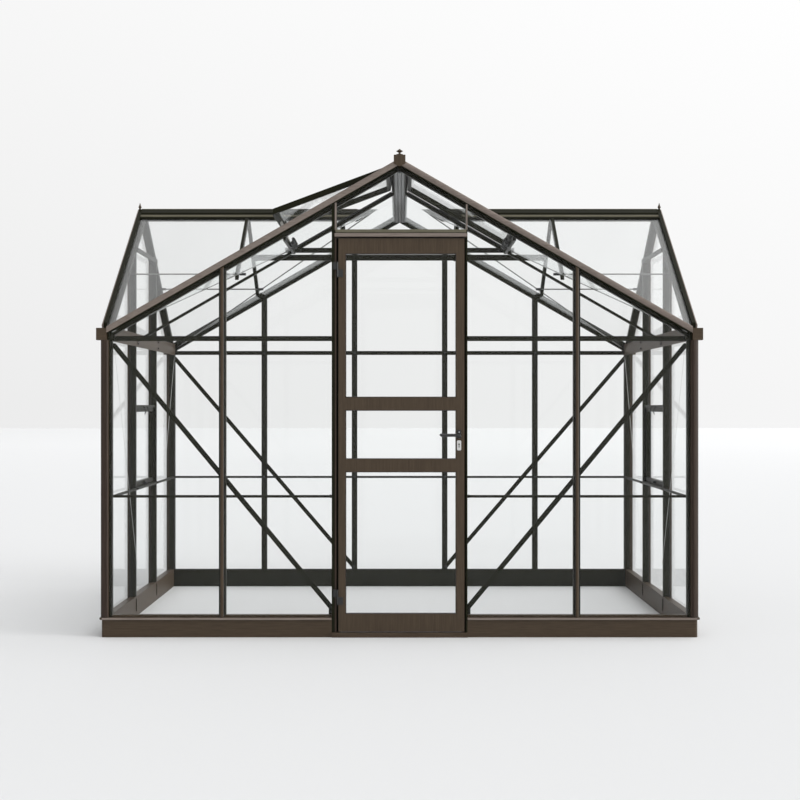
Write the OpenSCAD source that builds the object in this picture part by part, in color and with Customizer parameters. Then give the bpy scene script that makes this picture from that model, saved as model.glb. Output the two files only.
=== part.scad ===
// Glass greenhouse with a wide front gable, a lower cross roof over the two side gables,
// a hinged glazed door, two ridge vents and a small top-hung window in each side.
// X runs across the front, the front faces -Y, Z is up from the ground.

/* [Overall size] */
// Width over the corner posts
width = 3104; // [2600:1:3800]
// Depth over the corner posts
depth = 1884; // [1600:1:2400]
// Height of the rafter tops at a corner
corner_z = 1603; // [1500:1:1800]
// Height of the main ridge
ridge_z = 2494; // [2350:1:2800]
// Height of the cross ridge
cross_ridge_z = 2375; // [2250:1:2450]

/* [Base] */
// Height of the plinth below its ledge
plinth_h = 92; // [70:1:140]
// Thickness of the ledge on the plinth
ledge_t = 11; // [8:1:16]
// How far the ledge stands proud of the wall face
ledge_out = 9; // [4:1:16]
// Height of the rebate that stands up behind the glass
upstand_h = 11; // [6:1:20]
// Radius of the plinth's outer corners
plinth_r = 14; // [4:1:30]

/* [Profiles] */
// Width of the face of a corner post
post_face = 36; // [30:1:50]
// How far a corner post's inner flange reaches past its face
post_flange = 16; // [8:1:24]
// Width of the cap strip outside the glass
cap_w = 16; // [12:1:24]
// Depth of the cap strip, from the wall face to the glass
cap_d = 12; // [8:1:16]
// Width of a wall bar behind the glass
bar_w = 36; // [28:1:44]
// Depth of a wall bar behind the glass
bar_d = 30; // [24:1:40]
// Thickness of the web between cap and bar
web_w = 8; // [5:1:10]
// Thickness of the glass
glass_t = 4; // [3:1:6]
// Gap between a pane's edge and the metal beside it
glass_gap = 1; // [1:0.5:2]
// Thickness of the rails fixed to the inside of the bars
rail_t = 8; // [5:1:12]
// Height of the upper rail
rail_h = 26; // [18:1:40]
// Height of the thin middle rail
thin_rail_h = 13.5; // [10:0.5:20]
// Width of a brace
brace_w = 26; // [18:1:36]
// Thickness of a brace
brace_t = 4; // [3:1:6]

/* [Wall heights] */
// Centre height of the upper rail
rail_z = 1557; // [1400:1:1570]
// Centre height of the thin rail
thin_rail_z = 730; // [600:1:900]
// Lower edge of the beam along each side
eave_z = 1542; // [1450:1:1560]
// Height of the beam along each side
eave_h = 74; // [50:1:90]
// Thickness of the beam along each side
eave_t = 10; // [8:1:14]

/* [Roof] */
// Height of a rafter's outer face, measured vertically
rafter_face = 38.5; // [30:0.5:50]
// Height of a main rafter's inner web, measured vertically
rafter_h = 64; // [58:1:70]
// Height of a side rafter's inner web, measured vertically
side_rafter_h = 60; // [50:1:70]
// Main roof glass below the rafter tops, measured vertically
main_glass_off = 46; // [42:1:50]
// Cross roof glass below the rafter tops, measured vertically
cross_glass_off = 20; // [16:1:24]
// Width of a roof bar under the glass
roof_bar_w = 20; // [16:1:28]
// Height of a main roof bar under the glass
roof_bar_h = 16; // [14:0.1:34]
// Height of a cross roof bar under the glass
cross_bar_h = 30.4; // [20:0.1:36]
// Half width of the main ridge beam
ridge_half = 32; // [24:1:40]
// Half width of the cross ridge beam
cross_ridge_half = 12; // [8:1:16]
// Height of the cross ridge beam
cross_ridge_h = 69; // [50:1:80]
// Place of the inner cross roof bars
inner_bar_x = 338; // [300:1:380]
// Centre height of the front tie
tie_z = 2095; // [2060:1:2098]
// Height of the front tie
tie_h = 28; // [16:1:28]
// How far the front tie runs past the rafters that it crosses
tie_over = 48; // [20:1:70]
// Thickness of the tie and the purlin
tie_t = 6; // [4:1:10]
// Distance of the rear purlin behind mid depth
purlin_v = 248; // [200:1:270]
// Height of the rear purlin
purlin_h = 36; // [20:1:36]

/* [Roof vents] */
// Distance from the ridge to a vent's lower edge, across the slope in plan
vent_x = 614; // [560:1:620]
// Opening angle of the left vent above its closed place
vent_open = 9.4; // [0:0.1:20]
// Width of a vent's side bars
vent_bar = 20; // [16:1:28]
// Height of a vent's bars, measured vertically
vent_h = 33; // [26:1:33]

/* [Side windows] */
// Lower edge of a side window
window_z = 738; // [738:1:800]
// Height of a side window
window_h = 456; // [300:1:600]
// Height of the rails above and below a side window
window_rail = 15; // [10:1:20]
// Width of a side window's frame bars
window_bar = 25; // [18:1:32]

/* [Door] */
// Outer edge of the door posts, from the middle
jamb_x = 353; // [340:1:380]
// Width of the hinge post
hinge_jamb_w = 25; // [20:1:34]
// Width of the latch post
latch_jamb_w = 9; // [8:1:20]
// Gap on the hinge side
hinge_gap = 10; // [10:1:14]
// Gap on the latch side
latch_gap = 7; // [7:1:10]
// Height of the threshold
threshold_h = 26; // [20:1:30]
// Gap under the door
door_under = 5; // [5:1:8]
// Top edge of the door
door_top = 2075; // [1950:1:2090]
// Thickness of the door
door_t = 38; // [30:1:40]
// How far the door stands proud of the wall face
door_out = 6; // [4:1:10]
// Width of the hinge stile
hinge_stile = 36; // [30:1:60]
// Width of the latch stile
latch_stile = 42; // [38:1:70]
// Height of the top rail
top_rail = 78; // [60:1:110]
// Height of the bottom rail
bottom_rail = 91; // [60:1:130]
// Height of each middle rail
mid_rail = 65; // [40:1:90]
// Lower edge of the upper middle rail
upper_mid_z = 1183; // [1130:1:1400]
// Lower edge of the lower middle rail
lower_mid_z = 862; // [600:1:900]
// Height of the header over the door
header_h = 39; // [30:1:60]
// Height of the door handle
handle_z = 1051; // [1000:1:1080]
// How far the lever stands off the door
lever_off = 45; // [30:1:60]
// Diameter of the lever
lever_d = 13; // [9:1:16]

/* [Hidden] */
$fn = 48;

frame_brown = [0.29, 0.24, 0.20];
inner_olive = [0.19, 0.18, 0.12];
glass_tint = [0.85, 0.90, 0.90, 0.35];
black = [0.05, 0.05, 0.05];
steel = [0.75, 0.75, 0.74];

half_w = width / 2;
half_d = depth / 2;
// The handle reaches further out than the rear ledge, so the walls sit back to centre the whole.
handle_out = door_out + lever_off + lever_d / 2;
y_mid = (handle_out - ledge_out) / 2;
glass_d = cap_d + glass_t;
frame_d = glass_d + bar_d;
post_w = post_face + post_flange;
ledge_z = plinth_h + ledge_t;
wall_z = ledge_z + upstand_h;
pane_z = ledge_z + 1;
// Glass thickness measured vertically, and the play of a pane on its bars.
glass_v = 4.6;
seat_gap = 0.1;
main_slope = (ridge_z - corner_z) / half_w;
cross_slope = (cross_ridge_z - corner_z) / half_d;
main_bar_top = main_glass_off + glass_v + seat_gap;
cross_bar_top = cross_glass_off + glass_v + seat_gap;
web_side = web_w / 2 + glass_gap;
cap_side = cap_w / 2;
roof_bar_side = roof_bar_w / 2;
pane_top_off = 26;
fill_off = 24;
web_d = 20;
bay_x = 2 * (half_w - frame_d) / 5;
rear_bar_x = [-1.5 * bay_x, -0.5 * bay_x, 0.5 * bay_x, 1.5 * bay_x];
front_bar_x = (jamb_x + half_w - frame_d) / 2 - 5;
bay_y = 2 * (half_d - frame_d) / 3;
side_bar_y = bay_y / 2;
outer_bar_x = 1.5 * bay_x;
rail_end = half_w - frame_d - 1;
side_rail_end = half_d - frame_d - rail_t - 1;
cap_block_out = 26;
cap_block_in = 27;
cap_block_front = 6;
cap_block_z = eave_z + 5;
cap_block_h = 63;
post_top = cap_block_z;
rafter_end = half_w - cap_block_in - 1;
side_rafter_end = half_d - frame_d - 1;
valley_gap = 3;
// Play between a hung vent or window and the bar that it hangs on.
hang_gap = 0.3;
ridge_cap_x = 45;
ridge_cap_t = 12;
vent_hinge_x = ridge_cap_x + hang_gap;
vent_off = 4;
vent_near = half_d - 26;
vent_far = side_bar_y + 15;
sill_w = 15;
sill_x = vent_x - sill_w - 4;
sill_top_off = 2;
sill_h = 26;
door_left = -jamb_x + hinge_jamb_w + hinge_gap;
door_right = jamb_x - latch_jamb_w - latch_gap;
door_z = threshold_h + door_under;
door_pane_d = door_t / 2 - door_out;
hinge_x = door_left - hinge_gap / 2;
hinge_t = 3;
hinge_y = y_mid - half_d - door_out - hinge_t;
hinge_play = 0.3;
hinge_r = 4;
hinge_h = 78;
hinge_zs = [210, 1913];
header_z = door_top + 7;
stop_w = 16;
stop_t = 8;
// The bar that sheds rain over the door, and the thinner lip above it.
drip_out = 14;
drip_h = 18;
lip_out = 8;
lip_h = 10;
rose_w = 20;
rose_x = door_right - rose_w - 18;
lever_len = 92;
plate_h = 52;
finial_half = 30.5;
finial_block_h = 49;
finial_rise = 16;
// How far two parts of one extrusion run into each other.
lap = 0.5;
// Half of the play where two rafters meet under a ridge.
miter = 0.3;

// Height of the main roof at x, a vertical distance below the rafter tops.
function main_z(x, off) = ridge_z - off - main_slope * abs(x);
// Height of the cross roof at a distance from the middle of the depth.
function cross_z(v, off) = cross_ridge_z - off - cross_slope * abs(v);
// Where the two glass surfaces meet: distance from the main ridge for a distance from mid depth.
function valley_x(v) =
    (ridge_z - main_glass_off - cross_ridge_z + cross_glass_off + cross_slope * v) / main_slope;
function valley_y(x) =
    (main_slope * x - (ridge_z - main_glass_off - cross_ridge_z + cross_glass_off)) / cross_slope;

// Extrudes an outline drawn in X and Z between two distances from mid depth.
module along_y(v0, v1) {
    translate([0, y_mid + v1, 0]) rotate([90, 0, 0]) linear_extrude(v1 - v0) children();
}
// Extrudes an outline drawn in Y (from mid depth) and Z between two places in X.
module along_x(x0, x1) {
    translate([x0, y_mid, 0]) rotate([90, 0, 90]) linear_extrude(x1 - x0) children();
}
// Extrudes an XZ outline through a layer of the front (-1) or rear (1) wall, by depth from its face.
module wall_layer(side, d0, d1) {
    if (side < 0) along_y(-half_d + d0, -half_d + d1) children();
    else along_y(half_d - d1, half_d - d0) children();
}
// The same for the left (-1) or right (1) wall and a YZ outline.
module side_layer(side, d0, d1) {
    if (side < 0) along_x(-half_w + d0, -half_w + d1) children();
    else along_x(half_w - d1, half_w - d0) children();
}
module box(x0, x1, v0, v1, z0, z1) {
    translate([x0, y_mid + v0, z0]) cube([x1 - x0, v1 - v0, z1 - z0]);
}
// A box in the front or rear wall, by depth from its face.
module wall_box(side, x0, x1, d0, d1, z0, z1) {
    wall_layer(side, d0, d1) translate([x0, z0]) square([x1 - x0, z1 - z0]);
}
// A box in the left or right wall.
module side_box(side, v0, v1, d0, d1, z0, z1) {
    side_layer(side, d0, d1) translate([v0, z0]) square([v1 - v0, z1 - z0]);
}
// Strip of the main roof section on one side, between two offsets below the rafter tops.
module main_strip(side, x0, x1, o0, o1) {
    polygon([
        [side * x0, main_z(x0, o0)], [side * x1, main_z(x1, o0)],
        [side * x1, main_z(x1, o1)], [side * x0, main_z(x0, o1)]
    ]);
}
// Strip of the cross roof section on one side of its ridge.
module cross_strip(side, v0, v1, o0, o1) {
    polygon([
        [side * v0, cross_z(v0, o0)], [side * v1, cross_z(v1, o0)],
        [side * v1, cross_z(v1, o1)], [side * v0, cross_z(v0, o1)]
    ]);
}
// Upright outline from z0 up to the main roof slope, x0 and x1 on one side of the middle.
module up_to_main(x0, x1, z0, off) {
    polygon([[x0, z0], [x1, z0], [x1, main_z(x1, off)], [x0, main_z(x0, off)]]);
}
module up_to_cross(v0, v1, z0, off) {
    polygon([[v0, z0], [v1, z0], [v1, cross_z(v1, off)], [v0, cross_z(v0, off)]]);
}

// ---- Base ----
// Profile of the plinth as stacked layers, by depth from the wall face.
module front_plinth(side) {
    // Plan outline with a rounded outer corner.
    module plan(out, end) {
        x0 = side < 0 ? -half_w - out : end;
        x1 = side < 0 ? -end : half_w + out;
        corner_x = side < 0 ? x0 + plinth_r : x1 - plinth_r;
        difference() {
            translate([x0, y_mid - half_d - out]) square([x1 - x0, frame_d + out]);
            translate([side < 0 ? x0 - 1 : corner_x, y_mid - half_d - out - 1])
                square([plinth_r + 1, plinth_r + 1]);
        }
        translate([corner_x, y_mid - half_d - out + plinth_r]) circle(plinth_r);
    }
    linear_extrude(plinth_h) plan(0, jamb_x);
    translate([0, 0, plinth_h]) linear_extrude(ledge_t) plan(ledge_out, jamb_x);
    wall_box(-1, side < 0 ? -half_w + post_w : jamb_x, side < 0 ? -jamb_x : half_w - post_w,
        glass_d, frame_d, ledge_z, wall_z);
}
module front_plinths() {
    color(frame_brown) for (side = [-1, 1]) front_plinth(side);
}
module side_plinth(side) {
    v = half_d - frame_d;
    color(frame_brown) {
        side_box(side, -v, v, 0, frame_d, 0, plinth_h);
        side_box(side, -v, v, -ledge_out, frame_d, plinth_h, ledge_z);
        side_box(side, -half_d + post_w, half_d - post_w, glass_d, frame_d, ledge_z, wall_z);
    }
}
module left_plinth() { side_plinth(-1); }
module right_plinth() { side_plinth(1); }
module rear_plinth() {
    module plan(out) {
        y1 = y_mid + half_d + out;
        for (side = [-1, 1])
            translate([side * (half_w + out - plinth_r), y1 - plinth_r]) circle(plinth_r);
        translate([-half_w - out, y_mid + half_d - frame_d])
            square([width + 2 * out, frame_d + out - plinth_r]);
        translate([-half_w - out + plinth_r, y1 - plinth_r - 1])
            square([width + 2 * out - 2 * plinth_r, plinth_r + 1]);
    }
    color(frame_brown) {
        linear_extrude(plinth_h) plan(0);
        translate([0, 0, plinth_h]) linear_extrude(ledge_t) plan(ledge_out);
        wall_box(1, -half_w + post_w, half_w - post_w, glass_d, frame_d, ledge_z, wall_z);
    }
}
module door_threshold() {
    color(frame_brown) wall_box(-1, -jamb_x, jamb_x, -ledge_out, frame_d, 0, threshold_h);
}

// ---- Posts and glazing bars ----
module corner_posts() {
    h = post_top - ledge_z;
    color(frame_brown)
        for (sx = [-1, 1], sy = [-1, 1])
            translate([sx * half_w, y_mid + sy * half_d, ledge_z]) mirror([sx > 0 ? 1 : 0, 0, 0])
                mirror([0, sy > 0 ? 1 : 0, 0]) {
                    cube([post_face, post_face, h]);
                    translate([glass_d, glass_d, 0]) cube([post_w - glass_d, bar_d, h]);
                    translate([glass_d, glass_d, 0]) cube([bar_d, post_w - glass_d, h]);
                }
}
module corner_caps() {
    cap = cap_block_out + cap_block_in;
    color(frame_brown)
        for (sx = [-1, 1], sy = [-1, 1])
            translate([sx * (half_w + cap_block_out), y_mid + sy * (half_d + cap_block_front),
                cap_block_z])
                mirror([sx > 0 ? 1 : 0, 0, 0]) mirror([0, sy > 0 ? 1 : 0, 0])
                    cube([cap, post_face + cap_block_front, cap_block_h]);
}
module wall_bar(side, x) {
    wall_layer(side, 0, cap_d)
        up_to_main(x - cap_side, x + cap_side, ledge_z, rafter_face);
    wall_layer(side, cap_d, glass_d)
        up_to_main(x - web_w / 2, x + web_w / 2, ledge_z, pane_top_off);
    wall_layer(side, glass_d, frame_d)
        up_to_main(x - bar_w / 2, x + bar_w / 2, wall_z, rafter_h);
}
module front_glazing_bars() {
    color(frame_brown) for (side = [-1, 1]) wall_bar(-1, side * front_bar_x);
}
module rear_glazing_bars() {
    color(frame_brown) for (x = rear_bar_x) wall_bar(1, x);
}
module side_bars(side) {
    color(frame_brown)
        for (v = [-side_bar_y, side_bar_y]) {
            side_layer(side, 0, cap_d)
                up_to_cross(v - cap_side, v + cap_side, ledge_z, rafter_face);
            side_layer(side, cap_d, glass_d)
                up_to_cross(v - web_w / 2, v + web_w / 2, ledge_z, pane_top_off);
            side_layer(side, glass_d, frame_d)
                up_to_cross(v - roof_bar_side, v + roof_bar_side, wall_z, side_rafter_h);
        }
}
module left_glazing_bars() { side_bars(-1); }
module right_glazing_bars() { side_bars(1); }
module door_posts() {
    hinge_in = -jamb_x + hinge_jamb_w;
    latch_in = jamb_x - latch_jamb_w;
    color(frame_brown) {
        wall_layer(-1, 0, cap_d) up_to_main(-jamb_x, hinge_in, threshold_h, rafter_face);
        wall_layer(-1, cap_d, glass_d) up_to_main(-jamb_x, hinge_in, threshold_h, pane_top_off);
        wall_layer(-1, glass_d, frame_d) up_to_main(-jamb_x, hinge_in, threshold_h, rafter_h);
        wall_box(-1, hinge_in, hinge_in + stop_w, frame_d - stop_t, frame_d, threshold_h, header_z);
        wall_layer(-1, 0, cap_d) up_to_main(latch_in, jamb_x, threshold_h, rafter_face);
        wall_layer(-1, cap_d, glass_d) up_to_main(latch_in, jamb_x, threshold_h, pane_top_off);
        wall_layer(-1, glass_d, frame_d) up_to_main(latch_in, jamb_x, threshold_h, rafter_h);
        wall_box(-1, latch_in - stop_w, latch_in, frame_d - stop_t, frame_d, threshold_h, header_z);
    }
}
module door_header() {
    x0 = -jamb_x + hinge_jamb_w;
    x1 = jamb_x - latch_jamb_w;
    color(frame_brown) {
        wall_box(-1, x0, x1, 0, frame_d, header_z, header_z + header_h);
        wall_box(-1, x0 - 12, x1 + 6, -drip_out, 0, header_z, header_z + drip_h);
        wall_box(-1, x0 - 8, x1 + 4, -lip_out, 0, header_z + header_h - lip_h,
            header_z + header_h);
    }
}

// ---- Rails, beams and braces on the inside of the bars ----
module front_rails() {
    inner = jamb_x - latch_jamb_w + 1;
    color(inner_olive)
        for (side = [-1, 1]) {
            x0 = side < 0 ? -rail_end : inner;
            x1 = side < 0 ? -inner : rail_end;
            wall_box(-1, x0, x1, frame_d, frame_d + rail_t, rail_z - rail_h / 2, rail_z + rail_h / 2);
            wall_box(-1, x0, x1, frame_d, frame_d + rail_t,
                thin_rail_z - thin_rail_h / 2, thin_rail_z + thin_rail_h / 2);
        }
}
module rear_rails() {
    color(inner_olive) {
        wall_box(1, -rail_end, rail_end, frame_d, frame_d + rail_t,
            rail_z - rail_h / 2, rail_z + rail_h / 2);
        wall_box(1, -rail_end, rail_end, frame_d, frame_d + rail_t,
            thin_rail_z - thin_rail_h / 2, thin_rail_z + thin_rail_h / 2);
    }
}
module side_rails(side) {
    span = side_bar_y - roof_bar_side - 0.5;
    color(inner_olive) {
        side_box(side, -side_rail_end, side_rail_end, frame_d, frame_d + rail_t,
            thin_rail_z - thin_rail_h / 2, thin_rail_z + thin_rail_h / 2);
        side_box(side, -span, span, cap_d - 4, frame_d - 6, window_z - 1 - window_rail,
            window_z - 1);
        side_box(side, -span, span, cap_d - 4, frame_d - 6, window_z + window_h + hang_gap,
            window_z + window_h + hang_gap + window_rail);
    }
}
module left_rails() { side_rails(-1); }
module right_rails() { side_rails(1); }
module eave_beam(side) {
    color(inner_olive)
        side_box(side, -side_rail_end, side_rail_end, frame_d, frame_d + eave_t,
            eave_z, eave_z + eave_h);
}
module left_eave_beam() { eave_beam(-1); }
module right_eave_beam() { eave_beam(1); }
// A flat brace with round ends, on a boss at each end that carries it clear of the rails.
module brace(wall, x0, z0, x1, z1) {
    len = norm([x1 - x0, z1 - z0]);
    wall_layer(wall, frame_d + rail_t, frame_d + rail_t + brace_t)
        translate([x0, z0]) rotate(atan2(z1 - z0, x1 - x0)) {
            translate([0, -brace_w / 2]) square([len, brace_w]);
            circle(brace_w / 2);
            translate([len, 0]) circle(brace_w / 2);
        }
    for (end = [[x0, z0], [x1, z1]])
        wall_layer(wall, frame_d, frame_d + rail_t) translate(end) circle(6);
}
module front_braces() {
    color(inner_olive)
        for (side = [-1, 1])
            brace(-1, side * (jamb_x - 5), wall_z + 20, side * (half_w - post_w - 3), eave_z - 22);
}
module rear_braces() {
    color(inner_olive)
        for (side = [-1, 1])
            brace(1, side * (0.5 * bay_x + 6), wall_z + 20, side * (half_w - post_w - 3),
                eave_z - 22);
}

// ---- Roof frame ----
module finial_block(side) {
    wall_box(side, -finial_half, finial_half, -5, glass_d, ridge_z + finial_rise - finial_block_h,
        ridge_z + finial_rise);
}
module main_rafter(wall, side) {
    difference() {
        union() {
            wall_layer(wall, 0, cap_d) main_strip(side, miter, rafter_end, 0, rafter_face);
            wall_layer(wall, cap_d, glass_d) main_strip(side, miter, rafter_end, 0, fill_off);
            wall_layer(wall, glass_d, web_d) main_strip(side, miter, rafter_end, 0, rafter_h);
            wall_layer(wall, web_d, frame_d)
                main_strip(side, ridge_half + 0.5, rafter_end, main_bar_top, rafter_h);
        }
        finial_block(wall);
        // Birdsmouth that seats the rafter on the corner post.
        wall_box(wall, side < 0 ? -half_w : half_w - post_w, side < 0 ? -half_w + post_w : half_w,
            -1, frame_d + 1, 0, post_top);
    }
}
module front_rafters() {
    color(frame_brown) for (side = [-1, 1]) main_rafter(-1, side);
}
module rear_rafters() {
    color(frame_brown) for (side = [-1, 1]) main_rafter(1, side);
}
module side_rafters(wall) {
    color(frame_brown)
        for (side = [-1, 1]) {
            side_layer(wall, 0, cap_d) cross_strip(side, miter, side_rafter_end, 0, rafter_face);
            side_layer(wall, cap_d, glass_d) cross_strip(side, miter, side_rafter_end, 0, fill_off);
            side_layer(wall, glass_d, web_d)
                cross_strip(side, miter, side_rafter_end, 0, side_rafter_h);
            side_layer(wall, web_d, frame_d)
                cross_strip(side, miter, side_rafter_end, cross_bar_top, side_rafter_h);
        }
}
module left_gable_rafters() { side_rafters(-1); }
module right_gable_rafters() { side_rafters(1); }
module main_ridge() {
    v = half_d - web_d;
    floor_z = main_z(ridge_half, main_bar_top + 1);
    color(inner_olive) {
        along_y(-v, v)
            polygon([
                [-ridge_cap_x, main_z(ridge_cap_x, 0)], [0, ridge_z],
                [ridge_cap_x, main_z(ridge_cap_x, 0)],
                [ridge_cap_x, main_z(ridge_cap_x, ridge_cap_t)],
                [ridge_half, main_z(ridge_half, ridge_cap_t)], [ridge_half, ridge_z - rafter_h + 0.5],
                [-ridge_half, ridge_z - rafter_h + 0.5],
                [-ridge_half, main_z(ridge_half, ridge_cap_t)],
                [-ridge_cap_x, main_z(ridge_cap_x, ridge_cap_t)]
            ]);
        for (side = [-1, 1])
            along_y(-half_d + frame_d, half_d - frame_d)
                translate([side < 0 ? -ridge_half : ridge_half - 6, floor_z])
                    square([6, ridge_z - rafter_h + 1 - floor_z]);
    }
}
module cross_ridges() {
    inner_x = valley_x(0) - 40;
    cap_v = 30;
    color(inner_olive)
        for (side = [-1, 1])
            difference() {
                union() {
                    along_x(side < 0 ? -half_w + frame_d : inner_x,
                        side < 0 ? -inner_x : half_w - frame_d)
                        polygon([
                            [-cross_ridge_half, cross_ridge_z - cross_ridge_h],
                            [cross_ridge_half, cross_ridge_z - cross_ridge_h],
                            [cross_ridge_half, cross_z(cross_ridge_half, ridge_cap_t)],
                            [0, cross_ridge_z - 1],
                            [-cross_ridge_half, cross_z(cross_ridge_half, ridge_cap_t)]
                        ]);
                    along_x(side < 0 ? -half_w + web_d : inner_x,
                        side < 0 ? -inner_x : half_w - web_d)
                        polygon([
                            [-cap_v, cross_z(cap_v, 0)], [0, cross_ridge_z],
                            [cap_v, cross_z(cap_v, 0)], [cap_v, cross_z(cap_v, ridge_cap_t)],
                            [0, cross_ridge_z - ridge_cap_t], [-cap_v, cross_z(cap_v, ridge_cap_t)]
                        ]);
                }
                // Cut to the slope of the main roof glass that it dies into.
                along_y(-100, 100) main_strip(side, 0, half_w, main_glass_off - 1, ridge_z);
            }
}
// Rafters at the front third: glass bars down to the valley, then bare to the side beam.
module roof_bars() {
    v = -side_bar_y;
    low_end = half_w - frame_d - eave_t - 0.5;
    cap_end = valley_x(side_bar_y - cap_side) - 8;
    color(inner_olive)
        for (side = [-1, 1]) {
            along_y(v - roof_bar_side, v + roof_bar_side)
                main_strip(side, ridge_half + 0.5, low_end, main_bar_top, main_bar_top + roof_bar_h);
            along_y(v - web_w / 2, v + web_w / 2)
                main_strip(side, ridge_half + 0.5, cap_end, main_glass_off - lap,
                    main_bar_top + lap);
            along_y(v - cap_side, v + cap_side)
                main_strip(side, ridge_cap_x + 1, cap_end, main_glass_off - 8, main_glass_off);
        }
}
module cross_bar(side, half, x) {
    v0 = cross_ridge_half + 0.5;
    v1 = valley_y(x - roof_bar_side - 6);
    x0 = side * x;
    along_x(x0 - roof_bar_side, x0 + roof_bar_side)
        cross_strip(half, v0, v1, cross_bar_top, cross_bar_top + cross_bar_h);
    along_x(x0 - web_w / 2, x0 + web_w / 2)
        cross_strip(half, v0, v1, cross_glass_off - lap, cross_bar_top + lap);
    along_x(x0 - cap_side, x0 + cap_side)
        cross_strip(half, 31, v1, ridge_cap_t, cross_glass_off);
}
module cross_roof_bars() {
    color(inner_olive)
        for (side = [-1, 1], half = [-1, 1], x = [inner_bar_x, outer_bar_x])
            cross_bar(side, half, x);
}
module vent_sills() {
    z1 = main_z(sill_x + sill_w, main_glass_off + sill_top_off);
    color(inner_olive)
        for (x0 = [-sill_x - sill_w, sill_x])
            box(x0, x0 + sill_w, -half_d + frame_d, -side_bar_y - roof_bar_side - 0.5,
                z1 - sill_h, z1);
}
module roof_ties() {
    v = side_bar_y - roof_bar_side;
    tie_half = (ridge_z - main_bar_top - tie_z) / main_slope + tie_over;
    purlin_z = cross_z(purlin_v, cross_bar_top + cross_bar_h);
    purlin_half = outer_bar_x - roof_bar_side;
    color(inner_olive) {
        box(-tie_half, tie_half, -v, -v + tie_t, tie_z - tie_h / 2, tie_z + tie_h / 2);
        box(-purlin_half, purlin_half, purlin_v, purlin_v + tie_t,
            purlin_z - purlin_h / 2, purlin_z + purlin_h / 2);
    }
}
module gable_transoms() {
    v = side_bar_y - roof_bar_side + 3;
    z1 = cross_z(v, cross_bar_top + 1);
    color(inner_olive)
        for (side = [-1, 1])
            side_box(side, -v, v, frame_d, frame_d + rail_t, z1 - 26, z1);
}

// ---- Glass ----
module wall_pane(side, x0, x1, z0) {
    wall_layer(side, cap_d, glass_d) up_to_main(x0, x1, z0, pane_top_off);
}
module front_glass() {
    corner = half_w - post_face - glass_gap;
    color(glass_tint) {
        for (side = [-1, 1]) {
            wall_pane(-1, side * (front_bar_x + web_side), side * corner, pane_z);
            wall_pane(-1, side * (jamb_x + glass_gap), side * (front_bar_x - web_side), pane_z);
        }
        x0 = -jamb_x + hinge_jamb_w + glass_gap;
        x1 = jamb_x - latch_jamb_w - glass_gap;
        z0 = header_z + header_h + 1;
        wall_layer(-1, cap_d, glass_d)
            polygon([
                [x0, z0], [x1, z0], [x1, main_z(x1, pane_top_off)],
                [0, main_z(0, pane_top_off + 8)], [x0, main_z(x0, pane_top_off)]
            ]);
    }
}
module rear_glass() {
    corner = half_w - post_face - glass_gap;
    color(glass_tint) {
        for (side = [-1, 1]) {
            wall_pane(1, side * (1.5 * bay_x + web_side), side * corner, pane_z);
            wall_pane(1, side * (0.5 * bay_x + web_side), side * (1.5 * bay_x - web_side), pane_z);
        }
        x = 0.5 * bay_x - web_side;
        wall_layer(1, cap_d, glass_d)
            polygon([
                [-x, pane_z], [x, pane_z], [x, main_z(x, pane_top_off)],
                [0, main_z(0, pane_top_off + 8)], [-x, main_z(x, pane_top_off)]
            ]);
    }
}
module side_glass(side) {
    corner = half_d - post_face - glass_gap;
    v = side_bar_y - web_side;
    color(glass_tint) {
        for (half = [-1, 1])
            side_layer(side, cap_d, glass_d)
                up_to_cross(half * (side_bar_y + web_side), half * corner, pane_z, pane_top_off);
        side_box(side, -v, v, cap_d, glass_d, pane_z, window_z - 2 - window_rail);
        side_layer(side, cap_d, glass_d)
            polygon([
                [-v, window_z + window_h + 2 + window_rail],
                [v, window_z + window_h + 2 + window_rail],
                [v, cross_z(v, pane_top_off)], [0, cross_z(0, pane_top_off)],
                [-v, cross_z(v, pane_top_off)]
            ]);
    }
}
module left_glass() { side_glass(-1); }
module right_glass() { side_glass(1); }
// A pane in the main roof: a plan outline given as [distance from ridge, distance from mid depth].
module main_pane(side, half, plan) {
    intersection() {
        along_y(-half_d, half_d) main_strip(side, 1, half_w, main_glass_off, main_glass_off + glass_v);
        translate([0, y_mid, 0]) linear_extrude(ridge_z)
            polygon([for (p = plan) [side * p[0], half * p[1]]]);
    }
}
module cross_pane(side, half, plan) {
    intersection() {
        along_x(-half_w, half_w) cross_strip(half, 1, half_d, cross_glass_off, cross_glass_off + glass_v);
        translate([0, y_mid, 0]) linear_extrude(ridge_z)
            polygon([for (p = plan) [side * p[0], half * p[1]]]);
    }
}
module main_roof_glass() {
    x0 = ridge_half + 1;
    bar_v = side_bar_y - web_side;
    end_v = half_d - web_d - glass_gap;
    low_x = sill_x + sill_w + glass_gap;
    low_v = max(side_bar_y + web_side, valley_y(low_x + valley_gap));
    color(glass_tint)
        for (side = [-1, 1], half = [-1, 1]) {
            // Behind the ridge's middle one pane runs to the rear rafters. In front, a pane lies
            // behind the vent and another, below the vent's sill, beside it.
            if (half > 0)
                main_pane(side, half, [
                    [x0, 1], [valley_x(1) - valley_gap, 1], [valley_x(end_v) - valley_gap, end_v],
                    [x0, end_v]
                ]);
            else {
                main_pane(side, half, [
                    [x0, 1], [valley_x(1) - valley_gap, 1], [valley_x(bar_v) - valley_gap, bar_v],
                    [x0, bar_v]
                ]);
                main_pane(side, half, [
                    [low_x, low_v], [max(low_x, valley_x(low_v) - valley_gap), low_v],
                    [valley_x(end_v) - valley_gap, end_v], [low_x, end_v]
                ]);
            }
        }
}
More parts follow.
